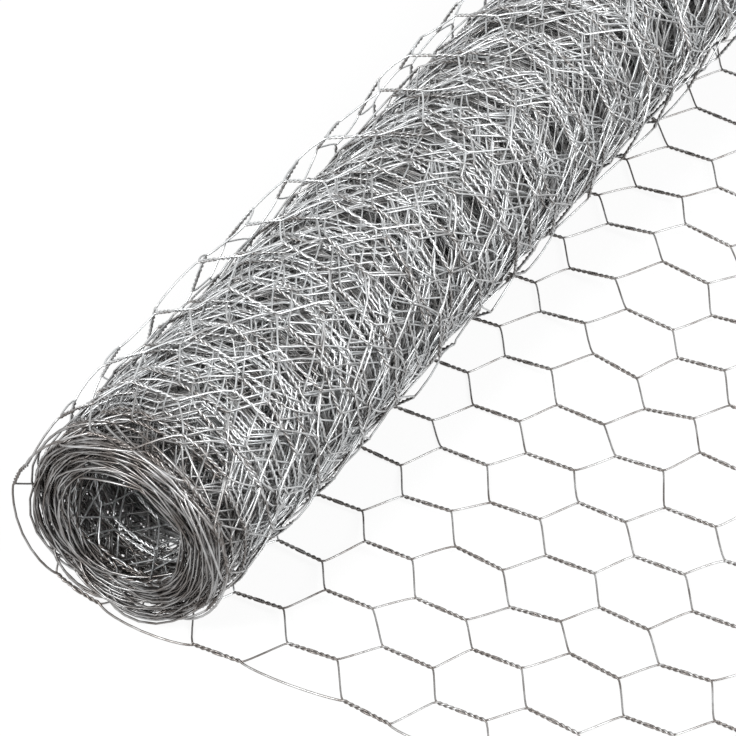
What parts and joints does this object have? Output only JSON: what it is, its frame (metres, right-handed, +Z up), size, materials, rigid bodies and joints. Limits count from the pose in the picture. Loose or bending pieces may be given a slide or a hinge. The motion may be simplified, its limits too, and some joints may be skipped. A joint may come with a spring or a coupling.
{
  "type": "roll of hexagonal wire netting",
  "caption": "Roll of galvanised hexagonal wire netting lying on its side, open along its axis, with its outer turn loose and its end unrolled flat on the floor.",
  "frame": {"origin": "middle of the roll's bore, on its axis", "axes": "+Y along the roll, away from the end that the picture shows; +X the way the netting unrolls; +Z up"},
  "size_m": [0.256, 0.5046, 0.0729],
  "materials": {
    "galvanised_wire": "dull galvanised zinc"
  },
  "bodies": {
    "root": {"roll": "galvanised_wire", "loose_turn": "galvanised_wire", "loose_end": "galvanised_wire"}
  },
  "joints": []
}
